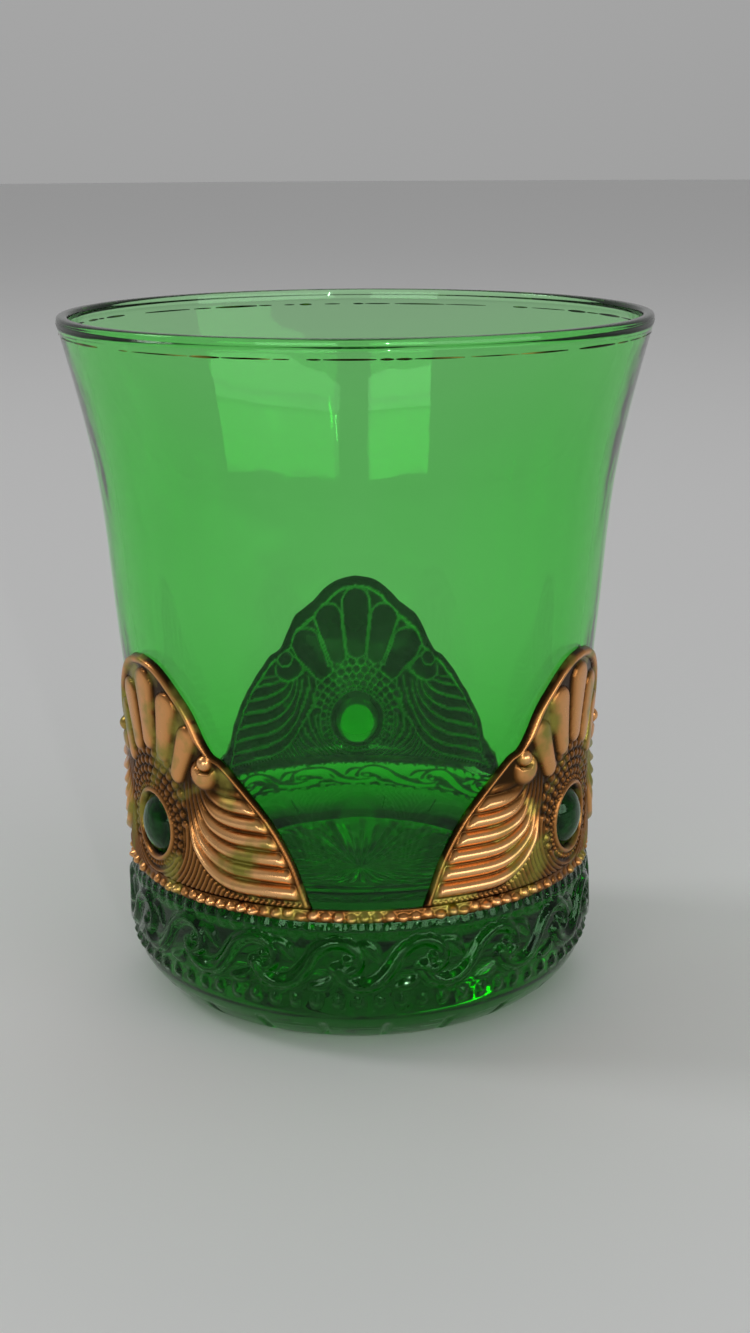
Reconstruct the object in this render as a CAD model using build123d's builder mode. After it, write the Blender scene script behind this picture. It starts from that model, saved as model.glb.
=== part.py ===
"""Souvenir shot glass: a flared pressed-glass tumbler with gilded medallions, as separate solids.

Millimetres and degrees. The origin is the centre of the foot, on the table; +Z is the glass's
axis. Angles around the glass are measured from -Y towards +X.
"""

import os

from build123d import *

# ---- the glass -------------------------------------------------------------------------------
FOOT_RADIUS = 16.4          # outer edge of the ring that the glass stands on
FOOT_RECESS_RADIUS = 13.4   # inner edge of that ring
FOOT_RECESS_DEPTH = 1.3
FLOOR_TOP = 11.8            # inside floor: the base is solid glass below it
FLOOR_FLAT_RADIUS = 12.6
BAND_RADIUS = 20.5          # ground of the scroll band
BAND_BOTTOM = 5.6
BAND_TOP = 11.4
RIM_EDGE = 59.2             # where the wall ends and the rounded lip begins
LIP_RADIUS = 0.65

# (radius, height) along the outside of the wall, from the scroll band up to the rim
OUTER_WALL = [(20.2, 12.4), (20.2, 18.0), (20.7, 28.0), (21.3, 34.0), (22.5, 46.0), (25.5, RIM_EDGE)]
# the same along the inside, from the rim down to the curve into the floor
INNER_WALL = [(24.2, RIM_EDGE), (21.1, 46.0), (19.9, 34.0), (19.2, 28.0), (18.2, 18.0), (18.0, 15.6)]

# ---- moulded ornament on the glass -----------------------------------------------------------
STAR_RAYS = 22
STAR_RAY_LENGTH = 12.0
STAR_RAY_DEPTH = 0.55
FOOT_BEADS = 72
FOOT_BEAD_RADIUS = 0.5
FOOT_BEAD_RING = (20.25, 4.8)     # radius and height of the lower bead row
BAND_BEADS = 96
BAND_BEAD_RADIUS = 0.6
BAND_BEAD_RING = (20.5, 10.8)
SCROLLS = 18
SCROLL_RISE = 0.5
SCROLL_WIDTH = 0.9

# ---- medallions ------------------------------------------------------------------------------
MEDALLION_ANGLES = {"left": -58.0, "right": 62.5, "back": 181.0}
MEDALLION_BASE = 13.1
MEDALLION_TOP = 32.4
MEDALLION_HALF_WIDTH = 15.3
SHOULDER = (8.3, 25.0)            # where the pointed head meets the sloping wing
HEAD_SIDE = (6.4, 28.3)
HEAD_CORNER = (3.4, 31.4)         # where the side of the head turns into its crown
HEAD_CROWN = MEDALLION_TOP - HEAD_CORNER[1]
PLATE_RISE = 0.4                  # height of the plain ground over the glass
RELIEF_RISE = 0.75                # height of border, petals and ribs over the glass
RING_RISE = 0.9
BORDER_WIDTH = 0.9
JEWEL_RADIUS = 2.6
JEWEL_HEIGHT = 17.3               # height of the jewel's centre above the table
JEWEL_RISE = 1.2
RING_WIDTH = 0.8
PETALS = [(0.0, 27.3, 0.0, 6.0, 2.3), (2.85, 26.2, 11.0, 5.4, 2.0), (4.9, 24.2, 22.0, 4.6, 1.8)]
RIBS = 7
RIB_WIDTH = 0.65
RIB_PITCH = 1.1
RIB_LOWEST = 14.2
SCROLL_EYE = (6.9, 23.5)          # the ball at the wing's shoulder
SCROLL_EYE_RADIUS = 1.25
SCALE_BEADS = 9
SCALE_BEAD_RADIUS = 0.5
SCALE_BEAD_ARC = 4.7              # distance of the small beads from the jewel's centre

# ---- fired gold lines ------------------------------------------------------------------------
GILT_BEADS = 120
GILT_BEAD_RADIUS = 0.5
GILT_BEAD_RING = (20.45, 12.25)
GILT_LINE_BOTTOM = 11.7
GILT_LINE_RISE = 0.15
RIM_LINE_BOTTOM = 58.0
RIM_LINE_TOP = 58.6
RIM_LINE_RISE = 0.08

SKIN = 1.0                        # how far a relief blank reaches into the glass before trimming
REACH = 40.0                      # anything beyond the widest radius
OUTWARD = (0, -1, 0)              # the way a medallion pattern faces before it is turned into place


def wall_blank(rise, bottom, top):
    """Ring that follows the outside of the wall, from SKIN inside it to rise outside it."""
    with BuildPart() as blank:
        with BuildSketch(Plane.XZ):
            with BuildLine():
                outside = Spline(*[(radius + rise, height) for radius, height in OUTER_WALL])
                inside = Spline(*[(radius - SKIN, height) for radius, height in OUTER_WALL])
                Line(outside @ 0, inside @ 0)
                Line(outside @ 1, inside @ 1)
            make_face()
        revolve(axis=Axis.Z)
        with BuildSketch(Plane.XY.offset(bottom)):
            Circle(REACH)
        extrude(amount=top - bottom, mode=Mode.INTERSECT)
    return blank.part


def half_width(height):
    """Half the medallion's width at a height on its wing, measured square to its centre line."""
    share = (height - MEDALLION_BASE) / (SHOULDER[1] - MEDALLION_BASE)
    return MEDALLION_HALF_WIDTH - (MEDALLION_HALF_WIDTH - SHOULDER[0]) * share**2


plate_blank = wall_blank(PLATE_RISE, MEDALLION_BASE, MEDALLION_TOP + 1)
relief_blank = wall_blank(RELIEF_RISE, MEDALLION_BASE, MEDALLION_TOP + 1)
ring_blank = wall_blank(RING_RISE, MEDALLION_BASE, MEDALLION_TOP + 1)
bead_line_blank = wall_blank(GILT_LINE_RISE, GILT_LINE_BOTTOM, MEDALLION_BASE)
rim_line_blank = wall_blank(RIM_LINE_RISE, RIM_LINE_BOTTOM, RIM_LINE_TOP)

# ---- moulded scroll, one of the running wave around the base ---------------------------------
with BuildPart() as scroll:
    with BuildSketch(Plane.XZ):
        with BuildLine():
            stem = ThreePointArc((-4.0, 6.6), (-1.9, 7.1), (-0.8, 8.4))
            crest = TangentArc(stem @ 1, (1.8, 8.2), tangent=stem % 1)
            eye = TangentArc(crest @ 1, (0.5, 7.6), tangent=crest % 1)
        trace(line_width=SCROLL_WIDTH)
    extrude(amount=REACH, dir=OUTWARD)
    with BuildSketch(Plane.XY.offset(BAND_BOTTOM)):
        Circle(BAND_RADIUS + SCROLL_RISE)
        Circle(BAND_RADIUS - SKIN, mode=Mode.SUBTRACT)
    extrude(amount=BAND_TOP - BAND_BOTTOM, mode=Mode.INTERSECT)

# ---- the plain tumbler, before its moulded ornament ------------------------------------------
with BuildPart() as tumbler:
    with BuildSketch(Plane.XZ):
        with BuildLine():
            Polyline(
                (0, FLOOR_TOP),
                (0, FOOT_RECESS_DEPTH),
                (FOOT_RECESS_RADIUS - 0.4, FOOT_RECESS_DEPTH),
                (FOOT_RECESS_RADIUS, 0),
                (FOOT_RADIUS, 0),
            )
            Spline(
                (FOOT_RADIUS, 0),
                (19.1, 2.0),
                (BAND_RADIUS, BAND_BOTTOM),
                tangents=[(1, 0.25), (0, 1)],
            )
            Polyline((BAND_RADIUS, BAND_BOTTOM), (BAND_RADIUS, BAND_TOP), OUTER_WALL[0])
            outside = Spline(*OUTER_WALL)
            inside = Spline(*INNER_WALL)
            ThreePointArc(outside @ 1, (OUTER_WALL[-1][0] - LIP_RADIUS, RIM_EDGE + LIP_RADIUS), inside @ 0)
            corner = TangentArc(inside @ 1, (FLOOR_FLAT_RADIUS, FLOOR_TOP), tangent=inside % 1)
            Line(corner @ 1, (0, FLOOR_TOP))
        make_face()
    revolve(axis=Axis.Z)

# ---- glass body: the tumbler with its scrolls, bead rows and star ----------------------------
with BuildPart() as glass_body:
    add(tumbler.part)
    with PolarLocations(0, SCROLLS):
        add(scroll.part)
    with Locations((0, 0, FOOT_BEAD_RING[1])):
        with PolarLocations(FOOT_BEAD_RING[0], FOOT_BEADS):
            Sphere(FOOT_BEAD_RADIUS)
    with Locations((0, 0, BAND_BEAD_RING[1])):
        with PolarLocations(BAND_BEAD_RING[0], BAND_BEADS):
            Sphere(BAND_BEAD_RADIUS)
    # the rayed star pressed into the recessed underside
    with Locations((0, 0, FOOT_RECESS_DEPTH)):
        with PolarLocations(STAR_RAY_LENGTH / 2, STAR_RAYS):
            Box(
                STAR_RAY_LENGTH,
                STAR_RAY_DEPTH * 2**0.5,
                STAR_RAY_DEPTH * 2**0.5,
                rotation=(45, 0, 0),
                mode=Mode.SUBTRACT,
            )

# ---- one jewel and one medallion, facing -Y --------------------------------------------------
cap_radius = (JEWEL_RADIUS**2 + JEWEL_RISE**2) / (2 * JEWEL_RISE)

with BuildPart() as jewel:
    with Locations((0, cap_radius - OUTER_WALL[1][0] - JEWEL_RISE, JEWEL_HEIGHT)):
        Sphere(cap_radius)
    with BuildSketch(Plane.XZ.offset(OUTER_WALL[1][0] - SKIN)):
        with Locations((0, JEWEL_HEIGHT)):
            Circle(JEWEL_RADIUS)
    extrude(amount=JEWEL_RISE + SKIN, mode=Mode.INTERSECT)
    add(tumbler.part, mode=Mode.SUBTRACT)

with BuildSketch(Plane.XZ) as outline:
    with BuildLine():
        Line((0, MEDALLION_BASE), (MEDALLION_HALF_WIDTH, MEDALLION_BASE))
        ThreePointArc((MEDALLION_HALF_WIDTH, MEDALLION_BASE), (half_width(19.0), 19.0), SHOULDER)
        ThreePointArc(SHOULDER, HEAD_SIDE, HEAD_CORNER)
        ThreePointArc(HEAD_CORNER, (HEAD_CORNER[0] / 2, MEDALLION_TOP - HEAD_CROWN / 4), (0, MEDALLION_TOP))
        mirror(about=Plane.YZ)
    make_face()

with BuildPart() as plate:
    add(outline.sketch)
    extrude(amount=REACH, dir=OUTWARD)
    add(plate_blank, mode=Mode.INTERSECT)

with BuildPart() as relief:
    with BuildSketch(Plane.XZ):
        add(outline.sketch)
        offset(amount=-BORDER_WIDTH, mode=Mode.SUBTRACT)
        for across, height, lean, length, width in PETALS:
            for side in (-1, 1):
                with Locations(Location((side * across, height), 90 - side * lean)):
                    SlotOverall(length, width)
    extrude(amount=REACH, dir=OUTWARD)
    with BuildSketch(Plane.XZ):
        for rib in range(RIBS):
            height = RIB_LOWEST + rib * RIB_PITCH
            inner = 4.8 + rib * 0.35
            for side in (-1, 1):
                with BuildLine():
                    FilletPolyline(
                        (side * inner, SCROLL_EYE[1] - SCROLL_EYE_RADIUS),
                        (side * inner, height),
                        (side * (half_width(height) - BORDER_WIDTH / 2), height),
                        radius=0.7 * (SCROLL_EYE[1] - SCROLL_EYE_RADIUS - height),
                    )
                trace(line_width=RIB_WIDTH)
    extrude(amount=REACH, dir=OUTWARD)
    add(relief_blank, mode=Mode.INTERSECT)

with BuildPart() as ring:
    with BuildSketch(Plane.XZ):
        with Locations((0, JEWEL_HEIGHT)):
            Circle(JEWEL_RADIUS + RING_WIDTH)
    extrude(amount=REACH, dir=OUTWARD)
    add(ring_blank, mode=Mode.INTERSECT)

with BuildPart() as medallion:
    add(plate.part)
    add(relief.part)
    add(ring.part)
    for side in (-1, 1):
        across = side * SCROLL_EYE[0]
        with Locations((across, -((OUTER_WALL[1][0] ** 2 - across**2) ** 0.5), SCROLL_EYE[1])):
            Sphere(SCROLL_EYE_RADIUS)
    with Locations(Location((0, -OUTER_WALL[1][0], JEWEL_HEIGHT), (90, 0, 0))):
        with PolarLocations(SCALE_BEAD_ARC, SCALE_BEADS, start_angle=15, angular_range=150, endpoint=True):
            Sphere(SCALE_BEAD_RADIUS)
    with BuildSketch(Plane.XZ):
        with Locations((0, JEWEL_HEIGHT)):
            Circle(JEWEL_RADIUS)
    extrude(amount=REACH, dir=OUTWARD, mode=Mode.SUBTRACT)
    add(tumbler.part, mode=Mode.SUBTRACT)

# ---- gold lines that run all the way round ---------------------------------------------------
with BuildPart() as gilt_bead_line:
    add(bead_line_blank)
    with Locations((0, 0, GILT_BEAD_RING[1])):
        with PolarLocations(GILT_BEAD_RING[0], GILT_BEADS):
            Sphere(GILT_BEAD_RADIUS)
    add(tumbler.part, mode=Mode.SUBTRACT)

with BuildPart() as gilt_rim_line:
    add(rim_line_blank)
    add(tumbler.part, mode=Mode.SUBTRACT)

# ---- names and files -------------------------------------------------------------------------
os.makedirs("parts", exist_ok=True)

glass_body.part.label = "glass_body"
export_step(glass_body.part, "parts/glass_body.step")

gilt_bead_line.part.label = "gilt_bead_line"
export_step(gilt_bead_line.part, "parts/gilt_bead_line.step")

gilt_rim_line.part.label = "gilt_rim_line"
export_step(gilt_rim_line.part, "parts/gilt_rim_line.step")

for place, angle in MEDALLION_ANGLES.items():
    with BuildPart() as gilt_panel:
        with Locations(Rotation(0, 0, angle)):
            add(medallion.part)
    gilt_panel.part.label = "gilt_panel_" + place
    export_step(gilt_panel.part, "parts/gilt_panel_" + place + ".step")

    with BuildPart() as panel_jewel:
        with Locations(Rotation(0, 0, angle)):
            add(jewel.part)
    panel_jewel.part.label = "jewel_" + place
    export_step(panel_jewel.part, "parts/jewel_" + place + ".step")
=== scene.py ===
"""Looks of the souvenir shot glass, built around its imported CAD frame.

Lengths are in millimetres until a mesh is made, and the lights are placed in metres. Angles are in
degrees, and those around the glass are measured from -Y towards +X, as in the part.
"""

import math

import bpy
import numpy as np
from mathutils import Matrix, Vector


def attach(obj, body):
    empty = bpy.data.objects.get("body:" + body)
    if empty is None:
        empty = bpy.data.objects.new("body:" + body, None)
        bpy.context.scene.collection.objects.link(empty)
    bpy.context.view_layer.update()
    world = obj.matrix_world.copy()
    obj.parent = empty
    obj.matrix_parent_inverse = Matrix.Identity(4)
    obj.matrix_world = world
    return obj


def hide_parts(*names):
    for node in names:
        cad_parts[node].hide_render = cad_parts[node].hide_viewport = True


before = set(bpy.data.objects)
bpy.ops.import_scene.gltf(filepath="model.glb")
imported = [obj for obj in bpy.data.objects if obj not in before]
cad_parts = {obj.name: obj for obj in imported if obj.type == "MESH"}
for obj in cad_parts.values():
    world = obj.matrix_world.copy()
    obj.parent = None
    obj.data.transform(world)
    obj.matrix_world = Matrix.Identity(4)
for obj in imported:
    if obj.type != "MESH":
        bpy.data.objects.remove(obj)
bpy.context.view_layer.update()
MM = 0.001

# ---- sizes, shared with the CAD part ---------------------------------------------------------
FOOT_RADIUS = 16.4
FOOT_RECESS_RADIUS = 13.4
FOOT_RECESS_DEPTH = 1.3
FLOOR_TOP = 11.8
FLOOR_FLAT_RADIUS = 12.6
BAND_RADIUS = 20.5
BAND_BOTTOM = 5.6
BAND_TOP = 11.4
RIM_EDGE = 59.2                   # where the wall ends and the lip begins
LIP_RISE = 0.65
LIP_SQUARENESS = 0.6              # 1 is a half round, less is squarer
# (radius, height) up the outside of the wall, and (thickness, height) of the wall
OUTER_WALL = [(20.2, 12.4), (20.2, 18.0), (20.7, 28.0), (21.3, 34.0), (22.5, 46.0), (25.5, RIM_EDGE)]
WALL_THICKNESS = [(2.2, 15.6), (1.45, 30.0), (1.4, 45.0), (1.05, RIM_EDGE)]
CAVITY_CORNER = WALL_THICKNESS[0][1]      # height where the inside starts to turn in to its floor
PANEL_ANGLES = {"left": -58.0, "right": 62.5, "back": 181.0}


# ---- curves ----------------------------------------------------------------------------------
def curve_of_height(points):
    """Natural cubic curve through (radius, height) points, as a function of height."""
    radius, height = np.array(points, float).T
    step = np.diff(height)
    slope = np.diff(radius) / step
    matrix = np.eye(len(points))
    rhs = np.zeros(len(points))
    for i in range(1, len(points) - 1):
        matrix[i, i - 1 : i + 2] = step[i - 1], 2 * (step[i - 1] + step[i]), step[i]
        rhs[i] = 6 * (slope[i] - slope[i - 1])
    bend = np.linalg.solve(matrix, rhs)

    def radius_at(z):
        z = np.asarray(z, float)
        i = np.clip(np.searchsorted(height, z) - 1, 0, len(step) - 1)
        t = z - height[i]
        start = slope[i] - step[i] * (2 * bend[i] + bend[i + 1]) / 6
        return radius[i] + start * t + bend[i] / 2 * t**2 + (bend[i + 1] - bend[i]) / (6 * step[i]) * t**3

    return radius_at


def smooth_path(points, per_span=8):
    """Points on a smooth curve through a short list of points."""
    p = np.array(points, float)
    p = np.vstack([2 * p[0] - p[1], p, 2 * p[-1] - p[-2]])
    out = []
    for i in range(1, len(p) - 2):
        a, b, c, d = p[i - 1 : i + 3]
        for t in np.linspace(0, 1, per_span, endpoint=False):
            out.append(0.5 * (2 * b + (c - a) * t + (2 * a - 5 * b + 4 * c - d) * t**2
                              + (3 * b - a - 3 * c + d) * t**3))
    out.append(p[-2])
    return np.array(out)


def distance_to_path(x, y, path):
    """Distance from each point to an open path, and how far along the path (0 to 1) it is."""
    best = np.full(x.shape, 1e9)
    along = np.zeros(x.shape)
    spans = len(path) - 1
    for i in range(spans):
        ax, ay = path[i]
        dx, dy = path[i + 1] - path[i]
        t = np.clip(((x - ax) * dx + (y - ay) * dy) / (dx * dx + dy * dy + 1e-12), 0, 1)
        d = np.hypot(x - ax - t * dx, y - ay - t * dy)
        near = d < best
        best = np.where(near, d, best)
        along = np.where(near, (i + t) / spans, along)
    return best, along


def dome(distance, radius, power=0.5):
    """Height, 0 to 1, of a rounded ridge or bead at a distance from its middle."""
    return np.clip(1 - (distance / radius) ** 2, 0, 1) ** power


def ease(value, low, high):
    """0 below low, 1 above high, smooth between."""
    t = np.clip((value - low) / (high - low), 0, 1)
    return t * t * (3 - 2 * t)


wall_radius = curve_of_height(OUTER_WALL)
wall_thickness = curve_of_height(WALL_THICKNESS)


def cavity_radius(z):
    return wall_radius(z) - wall_thickness(z)


# ---- mesh helpers ----------------------------------------------------------------------------
def around(degrees, radius, z):
    """Points at angles from -Y towards +X."""
    a = np.radians(degrees)
    return np.stack(np.broadcast_arrays(radius * np.sin(a), -radius * np.cos(a), z), -1)


def make_object(name, vertices, faces, attributes=None):
    """A smooth-shaded object of vertices in mm, with the named values stored on them."""
    mesh = bpy.data.meshes.new(name)
    mesh.from_pydata((np.asarray(vertices) * MM).tolist(), [], faces)
    mesh.validate()
    for key, values in (attributes or {}).items():
        mesh.attributes.new(key, "FLOAT", "POINT").data.foreach_set("value", np.asarray(values, np.float32))
    mesh.shade_smooth()
    piece = bpy.data.objects.new(name, mesh)
    bpy.context.scene.collection.objects.link(piece)
    return piece


def stitch(first_a, count_a, first_b, count_b):
    """Faces between two closed rings of vertices; counts are equal, double, half or one."""
    faces = []
    if count_a == 1 or count_b == 1:
        tip, first, count = (first_a, first_b, count_b) if count_a == 1 else (first_b, first_a, count_a)
        for j in range(count):
            k = (j + 1) % count
            face = (tip, first + k, first + j)
            faces.append(face if count_a == 1 else face[::-1])
    elif count_a == count_b:
        for j in range(count_a):
            k = (j + 1) % count_a
            faces.append((first_a + j, first_a + k, first_b + k, first_b + j))
    else:
        fine_is_a = count_a > count_b
        fine, coarse = (first_a, first_b) if fine_is_a else (first_b, first_a)
        fine_count, coarse_count = max(count_a, count_b), min(count_a, count_b)
        for j in range(coarse_count):
            k = (j + 1) % coarse_count
            f0, f1, f2 = fine + 2 * j, fine + 2 * j + 1, fine + (2 * j + 2) % fine_count
            for face in ((coarse + j, f1, f0), (coarse + j, coarse + k, f1), (coarse + k, f2, f1)):
                faces.append(face[::-1] if fine_is_a else face)
    return faces


def closed_rings(name, rings):
    """A closed surface through rings, each an array of points, from one pole to the other."""
    counts = [len(ring) for ring in rings]
    first = np.cumsum([0] + counts).tolist()
    faces = []
    for i in range(len(rings) - 1):
        faces += stitch(first[i], counts[i], first[i + 1], counts[i + 1])
    return make_object(name, np.vstack(rings), faces)


def ring_at(columns, radius, z):
    """The angles of a ring's points, and the points."""
    angle = np.arange(columns) * 360 / columns
    return angle, around(angle, radius, z)


def pole(z):
    """A ring that is one point on the axis."""
    return np.array([[0, 0, z]])


def off_middle(degrees, count, radius, start=0.0):
    """Distance in mm, along a circle, from the nearest of count equal spots."""
    pitch = 360 / count
    return np.radians(np.mod(degrees - start + pitch / 2, pitch) - pitch / 2) * radius


# ---- the glass -------------------------------------------------------------------------------
FINE, MIDDLE, COARSE = 768, 384, 192    # points in a ring: on the ornament, near it and elsewhere
SCROLLS = 18
SCROLL_PITCH = 2 * math.pi * BAND_RADIUS / SCROLLS
STEM_RISE = 0.5
STEM_HALF_WIDTHS = (0.72, 0.50)   # at its valley and at its eye
SCROLL_EYE = (6.25, 8.5)
SCROLL_EYE_RADIUS = 0.55
# number, height, half width, half height and rise of each row of green beads
BEAD_ROWS = [(96, 10.95, 0.56, 0.56, 0.20), (72, 4.85, 0.5, 0.46, 0.34)]
STAR_RAYS = 22
RAY_START = -9.2                  # degrees from the front to the first ray
RAY_DEPTH = 0.6
RAY_REACH = 12.6
NICK_DEPTH = 0.26                 # where a ray ends in the side of the foot
NICK_HALF_WIDTH = 0.36
FLUTES = 16
FLUTE_DEPTH = 0.04

# the running wave: one stem, from its valley over its crest and into its eye, in mm along the band
WAVE = smooth_path([(-1.7, 7.7), (-0.9, 6.7), (0.3, 6.25), (1.6, 6.6), (2.7, 7.8), (3.6, 9.2), (4.9, 10.05),
                    (6.2, 9.95), (7.1, 9.1), (7.1, 8.0), (6.3, 7.45), (5.6, 7.9)])
LEAF = smooth_path([(0.1, 9.9), (1.0, 9.4), (1.7, 8.4)])
SPRIG = smooth_path([(3.2, 6.1), (4.3, 6.3), (5.0, 7.0)])


def leaf_relief(x, z, path, half_width, rise):
    """A small leaf along a path, narrower at both ends."""
    d, along = distance_to_path(x, z, path)
    return rise * dome(d, half_width * np.sin(math.pi * (0.15 + 0.8 * along)), 1.0)


def scroll_relief(x, z):
    """One scroll of the running wave, with its eye and two leaves."""
    d, along = distance_to_path(x, z, WAVE)
    valley, tip = STEM_HALF_WIDTHS
    stem = STEM_RISE * dome(d, valley + (tip - valley) * along, 1.0)
    eye = STEM_RISE * dome(np.hypot(x - SCROLL_EYE[0], z - SCROLL_EYE[1]), SCROLL_EYE_RADIUS, 1.0)
    leaf = leaf_relief(x, z, LEAF, 0.6, 0.26)
    sprig = leaf_relief(x, z, SPRIG, 0.55, 0.22)
    return np.maximum.reduce([stem, eye, leaf, sprig])


def band_relief(degrees, z):
    """Height of the moulded ornament on the base, in mm."""
    x = np.mod(np.radians(degrees) * BAND_RADIUS, SCROLL_PITCH)
    height = np.zeros(x.shape)
    for shift in (-SCROLL_PITCH, 0, SCROLL_PITCH):
        height = np.maximum(height, scroll_relief(x + shift, z))
    for count, middle, half_wide, half_tall, rise in BEAD_ROWS:
        across = off_middle(degrees, count, BAND_RADIUS)
        height = np.maximum(height, rise * dome(np.hypot(across / half_wide, (z - middle) / half_tall), 1.0))
    nick = dome(off_middle(degrees, STAR_RAYS, FOOT_RADIUS, RAY_START), NICK_HALF_WIDTH, 1.0)
    return height - NICK_DEPTH * nick * (1 - ease(z, 1.7, 2.5))


def underside_rings():
    """The recess with the rayed star pressed up into it, out to the ring that the glass stands on."""
    dimple = 0.3
    rings = [pole(FOOT_RECESS_DEPTH + dimple)]
    for radius in np.concatenate([[0.5, 1.0, 1.6], np.linspace(2.3, RAY_REACH, 18)]):
        angle, points = ring_at(COARSE if radius < 5 else MIDDLE, radius, FOOT_RECESS_DEPTH)
        wave = np.abs(np.mod((angle - RAY_START) * STAR_RAYS / 360, 1) - 0.5) * 2
        fade = ease(RAY_REACH - radius, 0, 1.2) * ease(radius, 0.2, 2.5)
        points[:, 2] += RAY_DEPTH * ease(wave, 0.15, 0.95) * fade
        points[:, 2] += dimple * (1 - ease(radius, 0.0, 2.3))
        rings.append(points)
    foot_ring = [(13.0, 1.28), (13.2, 1.1), (FOOT_RECESS_RADIUS - 0.07, 0.6),
                 (FOOT_RECESS_RADIUS + 0.05, 0.15), (13.7, 0.0), (14.9, 0.0),
                 (FOOT_RADIUS - 0.3, 0.0), (FOOT_RADIUS + 0.05, 0.03)]
    rings += [ring_at(MIDDLE, radius, z)[1] for radius, z in foot_ring]
    return rings


def base_profile():
    """(radius, height) up the outside of the base, from the foot to under the gilt line."""
    foot = smooth_path([(BAND_RADIUS, BAND_BOTTOM), (20.15, 3.6), (19.1, 2.0), (17.7, 0.75), (16.75, 0.12)],
                       per_span=6)
    band = [(BAND_RADIUS, z) for z in np.arange(BAND_TOP, BAND_BOTTOM, -0.18)]
    step = [(20.2, z) for z in (13.2, 12.8, 12.4)] + [(20.35, 11.9)]
    return np.vstack([step, band, foot])[::-1]


def base_rings():
    """The outside of the base, with its relief standing out along the profile's normal."""
    profile = base_profile()
    tangent = np.gradient(profile, axis=0)
    tangent /= np.linalg.norm(tangent, axis=1)[:, None]
    rings = []
    for (radius, z), (along_r, along_z) in zip(profile, tangent):
        angle, points = ring_at(FINE, radius, z)
        rise = band_relief(angle, np.full(FINE, z))
        points += around(angle, rise * along_z, -rise * along_r)
        rings.append(points)
    rings.append(ring_at(MIDDLE, OUTER_WALL[0][0], 13.6)[1])
    return rings


def wall_rings():
    """The plain outside of the wall and the lip."""
    rings = []
    for z in np.concatenate([np.arange(14.2, 56, 0.75), np.arange(56.4, RIM_EDGE, 0.4)]):
        rings.append(ring_at(COARSE, wall_radius(z), z)[1])
    half_lip = wall_thickness(RIM_EDGE) / 2
    for turn in np.radians(np.arange(0, 181, 10)):
        across = math.copysign(abs(math.cos(turn)) ** LIP_SQUARENESS, math.cos(turn))
        rings.append(ring_at(COARSE, OUTER_WALL[-1][0] - half_lip + half_lip * across,
                             RIM_EDGE + LIP_RISE * math.sin(turn) ** LIP_SQUARENESS)[1])
    return rings


def cavity_rings():
    """The inside, with faint upright flutes that fade out towards the lip and the floor."""
    rings = []
    for z in np.concatenate([np.arange(RIM_EDGE - 0.5, 56, -0.5), np.arange(55.5, 15.7, -0.8)]):
        angle, _ = ring_at(COARSE, 1, z)
        flute = np.abs(np.cos(np.radians(angle * FLUTES / 2)))
        fade = ease(z, 17, 26) * (1 - ease(z, 50, 57.5))
        rings.append(around(angle, cavity_radius(z) + FLUTE_DEPTH * fade * flute, z))
    corner_width = cavity_radius(CAVITY_CORNER) - FLOOR_FLAT_RADIUS
    corner_height = CAVITY_CORNER - FLOOR_TOP
    for turn in np.radians(np.arange(8, 91, 8)):
        rings.append(ring_at(COARSE, FLOOR_FLAT_RADIUS + corner_width * math.cos(turn),
                             CAVITY_CORNER - corner_height * math.sin(turn))[1])
    dip = 0.15
    for radius in (12.0, 10.0, 7.5, 5.0, 2.5, 1.0):
        rings.append(ring_at(COARSE, radius, FLOOR_TOP - dip * (1 - radius / FLOOR_FLAT_RADIUS))[1])
    rings.append(pole(FLOOR_TOP - dip))
    return rings


def glass_rings():
    """All the rings of the glass, from the middle of its underside to the middle of its floor inside."""
    return underside_rings() + base_rings() + wall_rings() + cavity_rings()


# ---- gilded medallions -----------------------------------------------------------------------
# u runs round the wall from a medallion's middle and v up from the table, both in mm
PANEL_RADIUS = 20.6               # radius that turns angles into mm along the wall
PANEL_BASE = 12.8
PANEL_TOP = 32.6
PANEL_HALF_WIDTH = 17.25
PANEL_STEP = 0.125
PANEL_SIDE = smooth_path([(17.05, PANEL_BASE), (16.5, 14.2), (15.75, 16.3), (14.7, 18.4), (13.4, 20.4),
                          (11.8, 22.2), (10.3, 23.7), (9.1, 24.75), (8.15, 25.2), (7.3, 26.3),
                          (6.15, 28.4), (4.85, 29.9), (3.3, 31.3), (1.8, 32.1), (0.0, 32.4)], per_span=6)
GROUND = 0.30                     # rise of the plain gold over the glass
EDGE_RISE = 0.06                  # of the gold's border over the glass
EDGE_SINK = 0.04                  # of the gold's border into the glass
PRINT_SHARE = 0.42                # depth of the gold's back, as a share of its front's distance below 1 mm
JEWEL_RADIUS = 2.6
JEWEL_RISE = 1.15
JEWEL_SINK = 0.3
JEWEL_Z = 17.3
JEWEL_COLUMNS = 96
# foot, tip, and the radius at each, of the middle petal and of those on its right
PETALS = [((0.0, 25.0), (0.0, 29.7), 0.98, 1.50),
          ((2.2, 24.3), (3.15, 28.3), 0.92, 1.38),
          ((4.1, 22.8), (5.5, 26.1), 0.85, 1.12)]
CURL_BALL = (7.45, 24.35)
CURL_LOBE = (7.15, 23.25)
ROPE_CIRCLE = 2.95
RING_BEADS = 44
RING_BEAD_CIRCLE = 3.5
# radius of the arc, radius of a seed, lowest and highest angle, of each row of seeds
SEED_ROWS = [(4.05, 0.36, -38, 90), (4.8, 0.38, 12, 90), (5.6, 0.42, 30, 90), (6.45, 0.44, 48, 90)]
FEATHER_START = 3.9
FEATHER_PITCH = 0.46


def panel_outline():
    """The closed outline: the right side, then its mirror image."""
    left = PANEL_SIDE[::-1][1:] * (-1, 1)
    return np.vstack([PANEL_SIDE, left, PANEL_SIDE[:1]])


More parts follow.
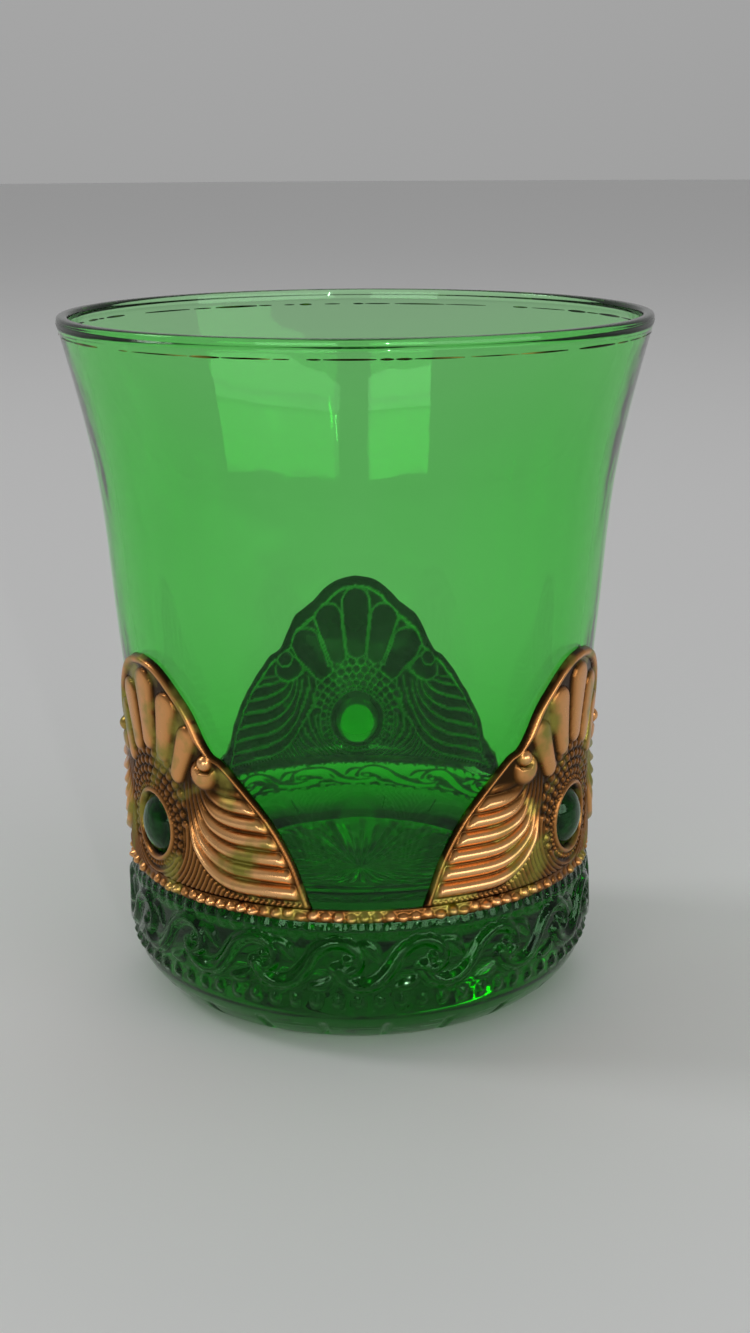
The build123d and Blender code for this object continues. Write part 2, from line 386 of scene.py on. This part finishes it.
def inside_polygon(x, y, outline):
    """Whether each point is inside a closed outline."""
    inside = np.zeros(x.shape, bool)
    for (ax, ay), (bx, by) in zip(outline[:-1], outline[1:]):
        crosses = (ay > y) != (by > y)
        inside ^= crosses & (x < (bx - ax) * (y - ay) / (by - ay + 1e-12) + ax)
    return inside


def edge_distance(u, v):
    """Distance inside the medallion's gold: positive on the gold, negative off it."""
    outline = panel_outline()
    d, _ = distance_to_path(u, v, outline)
    d = np.where(inside_polygon(u, v, outline), d, -d)
    return np.minimum(d, np.hypot(u, v - JEWEL_Z) - JEWEL_RADIUS)


def pad(u, v, foot, tip, foot_radius, tip_radius):
    """A long rounded petal from foot to tip; 0 to 1."""
    foot, tip = np.array(foot, float), np.array(tip, float)
    d = tip - foot
    t = np.clip(((u - foot[0]) * d[0] + (v - foot[1]) * d[1]) / (d @ d), 0, 1)
    away = np.hypot(u - foot[0] - t * d[0], v - foot[1] - t * d[1])
    return dome(away, foot_radius + t * (tip_radius - foot_radius), 0.28)


RIB_COUNT = 6
RIB_END = (11.5, 22.7)            # where the ribs' upright and level runs end
RIB_REACH = (6.7, 9.2)            # sideways and downward reach of the lowest rib from there
RIB_SHRINK = (0.44, 1.38)         # how much each rib's reach is less than the one below it
RIB_POWER = 2.4
RIB_SEARCH = (-6.0, 6.6)          # rib numbers to look between
RIB_HALVINGS = 26


def rib_number(u, v):
    """Which rib a point of the wing is on: 0 at the lowest, rising by one per rib."""
    across = np.clip(RIB_END[0] - u, 0, None)
    down = np.clip(RIB_END[1] - v, 0, None)
    low, high = (np.full(u.shape, number) for number in RIB_SEARCH)
    for _ in range(RIB_HALVINGS):
        middle = (low + high) / 2
        a = RIB_REACH[0] - RIB_SHRINK[0] * middle
        b = np.maximum(RIB_REACH[1] - RIB_SHRINK[1] * middle, 0.05)
        outside = (across / a) ** RIB_POWER + (down / b) ** RIB_POWER > 1
        high = np.where(outside, middle, high)
        low = np.where(outside, low, middle)
    return (low + high) / 2


def rib_relief(u, v, number, outline_d):
    """The ribs of the wing, lower where they crowd together towards the medallion's middle."""
    on_wing = ease(number, -0.05, 0.1) * (1 - ease(number, RIB_COUNT + 0.4, RIB_COUNT + 0.55))
    upright = ease(v, RIB_END[1] - 2, RIB_END[1] + 0.5)
    rib = dome(2 * np.mod(number, 1) - 1, 1.0, 0.95)
    crowd = 1 - 0.75 * ease(v - 1.15 * (u - 5.0), 15.0, 19.5)
    return 0.62 * rib * on_wing * crowd * (1 - upright) * ease(outline_d, 0.45, 0.95)


def border_relief(v, outline_d):
    """The bead along the outline, heavier round the head."""
    head = ease(v, 24.5, 26.5)
    return (0.55 + 0.12 * head) * dome(outline_d - 0.3 - 0.15 * head, 0.30 + 0.22 * head)


def curl_relief(u, v):
    """The ball at the shoulder, on its lobe, with a groove between them."""
    ball = np.hypot(u - CURL_BALL[0], v - CURL_BALL[1])
    lobe = np.hypot((u - CURL_LOBE[0]) / 1.1, v - CURL_LOBE[1])
    return np.maximum(dome(ball, 0.8), 0.78 * dome(lobe, 1.45, 0.45) * (ball > 0.92))


def ring_relief(from_jewel, angle):
    """The plain ring round the jewel, and the ring of beads round that."""
    rope = 0.62 * dome(from_jewel - ROPE_CIRCLE, 0.33)
    turn = np.mod(angle * RING_BEADS / 360, 1) - 0.5
    across = turn * 2 * math.pi * RING_BEAD_CIRCLE / RING_BEADS
    return np.maximum(rope, 0.52 * dome(np.hypot(across, from_jewel - RING_BEAD_CIRCLE), 0.22))


def seed_relief(u, v):
    """Rows of seeds on arcs round the jewel, every other row starting half a step further round."""
    height = np.zeros(u.shape)
    for row, (arc, size, low, high) in enumerate(SEED_ROWS):
        step = math.degrees(2.25 * size / arc)
        start = 90 + (row % 2) * step / 2
        for spot in start - step * np.arange(40):
            if low <= spot <= high + step:
                a = math.radians(spot)
                d = np.hypot(u - arc * math.cos(a), v - JEWEL_Z - arc * math.sin(a))
                height = np.maximum(height, 0.42 * dome(d, size))
    return height


def feather_relief(from_jewel, angle):
    """Fine curved ripples on the ground below and beside the jewel."""
    here = (angle < -30) | ((from_jewel > 4.6) & (angle < 15))
    ripple = np.abs(np.sin(math.pi * (from_jewel - FEATHER_START) / FEATHER_PITCH))
    return 0.26 * ripple * here * ease(from_jewel, 3.8, 4.1)


def panel_relief(u, v):
    """Height in mm over the glass of the medallion's right half."""
    outline_d, _ = distance_to_path(u, v, PANEL_SIDE)
    from_jewel = np.hypot(u, v - JEWEL_Z)
    angle = np.degrees(np.arctan2(v - JEWEL_Z, u))
    number = rib_number(u, v)
    petals = np.maximum.reduce([pad(u, v, *petal) for petal in PETALS])
    seeds = seed_relief(u, v) * (1 - ease(number, -0.25, 0.0) * (v < RIB_END[1]))
    feather = feather_relief(from_jewel, angle) * (1 - ease(number, -0.25, -0.02))
    return np.maximum.reduce([
        np.full(u.shape, GROUND),
        border_relief(v, outline_d),
        0.26 + 0.46 * petals * (outline_d > 0.75),
        GROUND + rib_relief(u, v, number, outline_d),
        curl_relief(u, v),
        GROUND + 0.5 * ring_relief(from_jewel, angle),
        GROUND + 0.55 * seeds * (petals < 0.02),
        GROUND + feather,
    ])


def panel_grid():
    """The grid that all three medallions share.

    Gives u and v of its points, which of its cells and points are used, the relief, the depth of
    the print behind it, and how sharp a valley each point is in.
    """
    u, v = np.meshgrid(np.arange(-PANEL_HALF_WIDTH, PANEL_HALF_WIDTH + 0.01, PANEL_STEP),
                       np.arange(PANEL_BASE, PANEL_TOP, PANEL_STEP))
    edge = edge_distance(u, v)
    keep = edge > -0.55 * PANEL_STEP
    cells = keep[:-1, :-1] & keep[:-1, 1:] & keep[1:, 1:] & keep[1:, :-1]
    padded = np.pad(cells.astype(int), 1)
    cells_round_point = padded[:-1, :-1] + padded[:-1, 1:] + padded[1:, 1:] + padded[1:, :-1]
    used = cells_round_point > 0
    # points on the border of the kept cells are drawn onto the true outline
    rim = used & (cells_round_point < 4)
    probe = 0.02
    grad_u = (edge_distance(u + probe, v) - edge_distance(u - probe, v)) / (2 * probe)
    grad_v = (edge_distance(u, v + probe) - edge_distance(u, v - probe)) / (2 * probe)
    pull = np.where(rim, np.clip(edge, -0.2, 0.2), 0)
    u, v = u - pull * grad_u, v - pull * grad_v

    edge = edge_distance(np.abs(u), v)
    full = ease(edge, -0.02, 0.3)
    relief = np.where(rim, EDGE_RISE, panel_relief(np.abs(u), v) * full + EDGE_RISE * (1 - full))
    print_depth = np.where(rim, EDGE_SINK, PRINT_SHARE * (1 - np.clip(relief, 0.3, 0.95)))
    slope_v, slope_u = np.gradient(relief, PANEL_STEP)
    valley = np.gradient(slope_v, PANEL_STEP, axis=0) + np.gradient(slope_u, PANEL_STEP, axis=1)
    # the sharper valleys of the gold's back, away from its edge, where the pale lines of painted light go
    painted_crease_light = ease(valley, 0.5, 1.6) * ease(edge, 0.12, 0.3)
    return u, v, cells, used, relief, print_depth, painted_crease_light


def shell_faces(cells, used):
    """Faces of the outside, the inside and the border between them, for a grid of used points."""
    count = int(used.sum())
    number = np.full(used.shape, -1)
    number[used] = np.arange(count)
    faces, sides = [], []
    for i, j in zip(*np.nonzero(cells)):
        a, b, c, d = number[i, j], number[i, j + 1], number[i + 1, j + 1], number[i + 1, j]
        faces += [(a, b, c, d), (d + count, c + count, b + count, a + count)]
        sides += [(a, b), (b, c), (c, d), (d, a)]
    every_side = set(sides)
    faces += [(q, p, p + count, q + count) for p, q in sides if (q, p) not in every_side]
    return faces


def panel_mesh(place, angle, grid):
    """Closed gold shell: relief outside, its softened print inside, sunk a little into the glass."""
    u, v, cells, used, relief, print_depth, painted_crease_light = grid
    theta = angle + np.degrees(u[used] / PANEL_RADIUS)
    z = v[used]
    outer = around(theta, wall_radius(z) + relief[used], z)
    inner = around(theta, wall_radius(z) - print_depth[used], z)
    none = np.zeros(len(z))
    # the stored relief and valley values set the gold's painted shade, painted highlight and painted light
    # lines
    return make_object("gilt_medallion_" + place, np.vstack([outer, inner]), shell_faces(cells, used),
                       {"relief": np.concatenate([relief[used], relief[used]]),
                        "inside": np.concatenate([none, none + 1]),
                        "painted_crease_light": np.concatenate([none, painted_crease_light[used]])})


def jewel_mesh(place, angle):
    """A polished dome, its flat back sunk into the glass wall."""
    cap_radius = (JEWEL_RADIUS**2 + JEWEL_RISE**2) / (2 * JEWEL_RISE)
    profile = [(0.0, JEWEL_RISE)]
    for share in np.sin(np.radians(np.arange(5, 91, 5))):
        drop = cap_radius - math.sqrt(cap_radius**2 - (share * JEWEL_RADIUS) ** 2)
        profile.append((share * JEWEL_RADIUS, JEWEL_RISE - drop))
    # the dome's last ring is there a second time, which keeps the edge sharp
    profile += [(JEWEL_RADIUS, 0.0), (JEWEL_RADIUS, -0.25)]
    profile += [(share * JEWEL_RADIUS, -JEWEL_SINK) for share in (0.96, 0.6, 0.3, 0.0)]
    rings = []
    for radius, height in profile[::-1]:
        count = JEWEL_COLUMNS if radius > 0 else 1
        turn = np.radians(np.arange(count) * 360 / count)
        u, v = radius * np.cos(turn), JEWEL_Z + radius * np.sin(turn)
        rings.append(around(angle + np.degrees(u / PANEL_RADIUS), wall_radius(v) + height, v))
    return closed_rings("jewel_dome_" + place, rings)


# ---- gold lines ------------------------------------------------------------------------------
GILT_BEADS = 120
GILT_BEAD_COLUMNS = 10
GILT_BEAD_RADIUS = 20.6
GILT_BEAD_Z = 12.25
GILT_BEAD_HALF_SIZE = (0.54, 0.46)
GILT_BEAD_RISE = 0.52
GILT_STRIP_RISE = 0.16
GILT_SINK = 0.02
GILT_BACK_RADIUS = 19.95
GILT_FRONT_HEIGHTS = (11.7, 11.74, 11.82, 11.92, 12.03, 12.14, 12.25, 12.36, 12.47, 12.58, 12.68, 12.76,
                      12.82)
GILT_BACK_HEIGHTS = (12.82, 12.3, 11.7)
RIM_LINE_Z = 58.3
RIM_LINE_RISE = 0.035
RIM_LINE_SINK = 0.02


def gilt_bead_line():
    """A thin gold strip with a row of worn beads, closed behind inside the glass."""
    columns = GILT_BEADS * GILT_BEAD_COLUMNS
    rng = np.random.default_rng(7)
    size = 1 + 0.30 * rng.standard_normal(GILT_BEADS)
    lean = 0.08 * rng.standard_normal(GILT_BEADS)
    angle, _ = ring_at(columns, 1, 0)
    bead = np.arange(columns) // GILT_BEAD_COLUMNS
    half_pitch = 180 / GILT_BEADS
    across = off_middle(angle, GILT_BEADS, GILT_BEAD_RADIUS, half_pitch) / GILT_BEAD_HALF_SIZE[0]
    scale = np.clip(size[bead], 0.55, 1.35)
    heights, loops = [], []
    for z in GILT_FRONT_HEIGHTS:
        up = (z - GILT_BEAD_Z - lean[bead]) / GILT_BEAD_HALF_SIZE[1]
        lump = GILT_BEAD_RISE * scale * dome(np.hypot(across, up), 1.0, 0.6)
        strip = GILT_STRIP_RISE * ease(z, 11.70, 11.80) * (1 - ease(z, 12.74, 12.82))
        glass = 20.2 + 0.15 * ease(12.6 - z, 0.1, 0.6)
        heights.append(np.maximum(strip, lump) - GILT_SINK)
        loops.append(around(angle, glass + heights[-1], z))
    for z in GILT_BACK_HEIGHTS:
        heights.append(np.zeros(columns))
        loops.append(around(angle, GILT_BACK_RADIUS, z))
    faces = []
    for i in range(len(loops)):
        faces += stitch(i * columns, columns, ((i + 1) % len(loops)) * columns, columns)
    # the stored relief sets the painted shade of the gold's colour
    relief = np.concatenate(heights) + GROUND
    return make_object("gilt_bead_line", np.vstack(loops), faces, {"relief": relief})


def gilt_rim_line():
    """The worn gold line at the rim: thin dashes of the strip that is left."""
    rng = np.random.default_rng(11)
    corners = ((-1, RIM_LINE_RISE), (1, RIM_LINE_RISE), (1, -RIM_LINE_SINK), (-1, -RIM_LINE_SINK))
    vertices, faces = [], []
    at = 0.0
    while at < 357:
        length = rng.uniform(2.0, 13.0)
        gap = rng.choice([0.4, 1.2, 3.0, 7.0], p=[0.3, 0.3, 0.25, 0.15])
        steps = max(int(length / 0.8), 3)
        half_width = rng.uniform(0.035, 0.10)
        angle = at + np.linspace(0, length, steps + 1)
        taper = np.sin(np.pi * np.clip((angle - at) / length, 0.03, 0.97)) ** 0.35
        first = len(vertices)
        for a, t in zip(angle, taper):
            for side, rise in corners:
                z = RIM_LINE_Z + side * half_width * t
                vertices.append(around(a, wall_radius(z) + rise, z))
        for i in range(steps):
            for k in range(4):
                n = (k + 1) % 4
                a, b = first + 4 * i, first + 4 * (i + 1)
                faces.append((a + k, b + k, b + n, a + n))
        faces.append((first, first + 1, first + 2, first + 3))
        last = first + 4 * steps
        faces.append((last + 3, last + 2, last + 1, last))
        at += length + gap
    # no relief is stored, so its gold takes the darkest painted shade
    return make_object("gilt_rim_line", np.array(vertices), faces)


# ---- materials -------------------------------------------------------------------------------
# colour of the gold at each relief, in mm: darker the lower the relief, which is painted shade, darkest on
# the plain ground and down in the grooves; the highest crests get a painted highlight
GOLD_SHADE_AND_HIGHLIGHT_BY_RELIEF = [(0.0, (0.020, 0.012, 0.004)), (0.33, (0.050, 0.024, 0.008)), (0.48, (0.24, 0.095, 0.024)),
                  (0.66, (0.78, 0.36, 0.12)), (0.9, (0.96, 0.52, 0.22))]
GOLD_OLIVE = (0.34, 0.30, 0.06)
GOLD_BACK = (0.012, 0.010, 0.006)
# painted light: pale, non-metal lines in the valleys of the gold's back, standing in for the light seen
# along them
GOLD_PAINTED_CREASE_LIGHT = (0.95, 0.98, 0.92)
GLASS_IOR = 1.52
GLASS_SPECULAR_TINT = (0.45, 0.85, 0.50)
# the mix node's sockets for colours
MIX_SHARE, MIX_FROM, MIX_TO, MIX_RESULT = 0, 6, 7, 2


def new_material(name):
    """A material, its node tree and its shader."""
    material = bpy.data.materials.new(name)
    material.use_nodes = True
    tree = material.node_tree
    return material, tree, tree.nodes["Principled BSDF"]


def mesh_value(tree, name):
    """A value stored on the mesh's points, 0 where the mesh has none."""
    node = tree.nodes.new("ShaderNodeAttribute")
    node.attribute_name = name
    return node.outputs["Fac"]


def object_noise(tree, scale, detail=2.0):
    """Noise fixed to the piece."""
    coordinates = tree.nodes.new("ShaderNodeTexCoord")
    noise = tree.nodes.new("ShaderNodeTexNoise")
    noise.inputs["Scale"].default_value = scale
    noise.inputs["Detail"].default_value = detail
    tree.links.new(coordinates.outputs["Object"], noise.inputs["Vector"])
    return noise.outputs["Fac"]


def rescale(tree, value, source=(0.0, 1.0), target=(0.0, 1.0)):
    """A value carried from one range to another."""
    node = tree.nodes.new("ShaderNodeMapRange")
    node.inputs["From Min"].default_value, node.inputs["From Max"].default_value = source
    node.inputs["To Min"].default_value, node.inputs["To Max"].default_value = target
    tree.links.new(value, node.inputs["Value"])
    return node.outputs["Result"]


def ramp(tree, value, stops):
    """The colour at a value, between (value, colour) stops."""
    node = tree.nodes.new("ShaderNodeValToRGB")
    while len(node.color_ramp.elements) < len(stops):
        node.color_ramp.elements.new(0.5)
    for element, (place, colour) in zip(node.color_ramp.elements, stops):
        element.position = place
        element.color = (*colour, 1)
    tree.links.new(value, node.inputs["Fac"])
    return node.outputs["Color"]


def mixed(tree, share, start, colour):
    """A start colour taken towards another colour by a share."""
    node = tree.nodes.new("ShaderNodeMix")
    node.data_type = "RGBA"
    node.inputs[MIX_TO].default_value = (*colour, 1)
    tree.links.new(share, node.inputs[MIX_SHARE])
    tree.links.new(start, node.inputs[MIX_FROM])
    return node.outputs[MIX_RESULT]


def add_bump(tree, shader, height, strength, distance):
    """Fine unevenness of the surface; the distance is in metres."""
    node = tree.nodes.new("ShaderNodeBump")
    node.inputs["Strength"].default_value = strength
    node.inputs["Distance"].default_value = distance
    tree.links.new(height, node.inputs["Height"])
    tree.links.new(node.outputs["Normal"], shader.inputs["Normal"])


def glass_material(name, waviness, tint, density):
    """Clear glass that takes its colour from its depth."""
    material, tree, shader = new_material(name)
    shader.inputs["Base Color"].default_value = (1, 1, 1, 1)
    shader.inputs["Transmission Weight"].default_value = 1.0
    shader.inputs["Roughness"].default_value = 0.02
    shader.inputs["IOR"].default_value = GLASS_IOR
    shader.inputs["Specular Tint"].default_value = (*GLASS_SPECULAR_TINT, 1)
    volume = tree.nodes.new("ShaderNodeVolumeAbsorption")
    volume.inputs["Color"].default_value = (*tint, 1)
    volume.inputs["Density"].default_value = density
    tree.links.new(volume.outputs[0], tree.nodes["Material Output"].inputs["Volume"])
    add_bump(tree, shader, object_noise(tree, 180.0), waviness, 0.0002)
    return material


def gold_material(name):
    """Fired gold: painted shade down the grooves and a painted highlight on the crests, olive in patches,
    near black where it meets the glass, and pale lines of painted light in the creases of its back.
    """
    material, tree, shader = new_material(name)
    patches = object_noise(tree, 260.0, 4.0)
    painted_crease_light = mesh_value(tree, "painted_crease_light")
    # painted shade and painted highlight: the gold is darker the lower its relief
    colour = ramp(tree, mesh_value(tree, "relief"), GOLD_SHADE_AND_HIGHLIGHT_BY_RELIEF)
    colour = mixed(tree, rescale(tree, patches, source=(0.50, 0.66)), colour, GOLD_OLIVE)
    colour = mixed(tree, mesh_value(tree, "inside"), colour, GOLD_BACK)
    # painted light: pale, non-metal lines in the creases of the gold's back
    colour = mixed(tree, painted_crease_light, colour, GOLD_PAINTED_CREASE_LIGHT)
    tree.links.new(colour, shader.inputs["Base Color"])
    metal = tree.nodes.new("ShaderNodeMath")
    metal.operation = "SUBTRACT"
    metal.inputs[0].default_value = 1.0
    tree.links.new(painted_crease_light, metal.inputs[1])
    tree.links.new(metal.outputs["Value"], shader.inputs["Metallic"])
    tree.links.new(rescale(tree, patches, target=(0.18, 0.40)), shader.inputs["Roughness"])
    add_bump(tree, shader, object_noise(tree, 2600.0), 0.12, 0.00003)
    return material


def floor_material():
    material, _, shader = new_material("pale_floor")
    shader.inputs["Base Color"].default_value = (0.86, 0.86, 0.86, 1)
    shader.inputs["Roughness"].default_value = 0.7
    return material


# ---- pieces ----------------------------------------------------------------------------------
clear_green = glass_material("green_glass", 0.12, (0.04, 0.92, 0.02), 640.0)
jewel_green = glass_material("jewel_glass", 0.05, (0.05, 0.90, 0.03), 4000.0)
fired_gold = gold_material("fired_gold")


def finish_piece(piece, material, node):
    """Give a piece its material, hang it under the root body, and hide the CAD node it stands for."""
    piece.data.materials.append(material)
    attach(piece, "root")
    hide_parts(node)


finish_piece(closed_rings("glass_body_moulded", glass_rings()), clear_green, "glass_body")
medallion_grid = panel_grid()
for place, angle in PANEL_ANGLES.items():
    finish_piece(panel_mesh(place, angle, medallion_grid), fired_gold, "gilt_panel_" + place)
    finish_piece(jewel_mesh(place, angle), jewel_green, "jewel_" + place)
finish_piece(gilt_bead_line(), fired_gold, "gilt_bead_line")
finish_piece(gilt_rim_line(), fired_gold, "gilt_rim_line")

# ---- studio ----------------------------------------------------------------------------------
FLOOR_COLUMNS = 128
FLOOR_RADIUS = 3000.0
LIGHTS_AIM = Vector((0, 0, 0.03))
# name, place and size in metres, and watts
LIGHTS = [
    ("back", (0.06, 0.42, 0.62), (0.30, 0.24), 0.2),
    ("window_right", (0.58, -0.66, 0.23), (1.06, 0.34), 2.8),
    ("window_left", (-0.32, -0.82, 0.22), (0.46, 0.32), 1.5),
    ("high_left", (-0.65, 0.10, 0.60), (0.20, 0.20), 1.0),
    ("lamp", (0.185, -0.87, 0.21), (0.012, 0.10), 0.8),
]
SKY_BRIGHT_SIDE = (-0.12, 0.66, 0.74)
# grey of the sky, from the side away from the bright side (0) to the bright side (1)
SKY_TONES = [(0.0, 0.15), (0.45, 0.20), (0.62, 0.27), (0.95, 0.42)]

floor = make_object("floor", ring_at(FLOOR_COLUMNS, FLOOR_RADIUS, 0.0)[1], [tuple(range(FLOOR_COLUMNS))])
floor.data.materials.append(floor_material())

for name, place, size, watts in LIGHTS:
    data = bpy.data.lights.new(name, "AREA")
    data.shape = "RECTANGLE"
    data.size, data.size_y = size
    data.energy = watts
    light = bpy.data.objects.new(name, data)
    light.location = place
    light.rotation_euler = (LIGHTS_AIM - Vector(place)).to_track_quat("-Z", "Y").to_euler()
    bpy.context.scene.collection.objects.link(light)

world = bpy.data.worlds.new("studio")
bpy.context.scene.world = world
world.use_nodes = True
sky = world.node_tree
direction = sky.nodes.new("ShaderNodeTexCoord")
towards_bright = sky.nodes.new("ShaderNodeVectorMath")
towards_bright.operation = "DOT_PRODUCT"
towards_bright.inputs[1].default_value = SKY_BRIGHT_SIDE
sky.links.new(direction.outputs["Generated"], towards_bright.inputs[0])
sky_share = rescale(sky, towards_bright.outputs["Value"], source=(-1.0, 1.0))
sky_colour = ramp(sky, sky_share, [(share, (tone, tone, tone)) for share, tone in SKY_TONES])
sky.links.new(sky_colour, sky.nodes["Background"].inputs["Color"])

# ---- camera: the angle the glass is seen from, 75 mm up and 181 mm away ----------------------
CAMERA_DISTANCE = 181.1
CAMERA_HEIGHT = 74.9
CAMERA_SIDE = 1.5
CAMERA_PITCH = 14.44              # degrees down
CAMERA_ROLL = 0.34                # degrees; the glass leans down to the left
FOCAL_SHARE = 2088.0 / 1333       # focal length as a share of the picture's long side
SENSOR_WIDTH = 36.0

camera_data = bpy.data.cameras.new("camera")
camera_data.sensor_width = SENSOR_WIDTH
camera_data.lens = SENSOR_WIDTH * FOCAL_SHARE
camera_data.clip_start = 0.01
camera_data.clip_end = 20.0
camera = bpy.data.objects.new("camera", camera_data)
bpy.context.scene.collection.objects.link(camera)
bpy.context.scene.camera = camera
camera.matrix_world = (
    Matrix.Translation(Vector((CAMERA_SIDE, -CAMERA_DISTANCE, CAMERA_HEIGHT)) * MM)
    @ Matrix.Rotation(math.radians(90 - CAMERA_PITCH), 4, "X")
    @ Matrix.Rotation(math.radians(-CAMERA_ROLL), 4, "Z")
)

scene = bpy.context.scene
scene.view_settings.view_transform = "Standard"
scene.cycles.max_bounces = 24
scene.cycles.transmission_bounces = 24
scene.cycles.glossy_bounces = 8
scene.cycles.transparent_max_bounces = 16
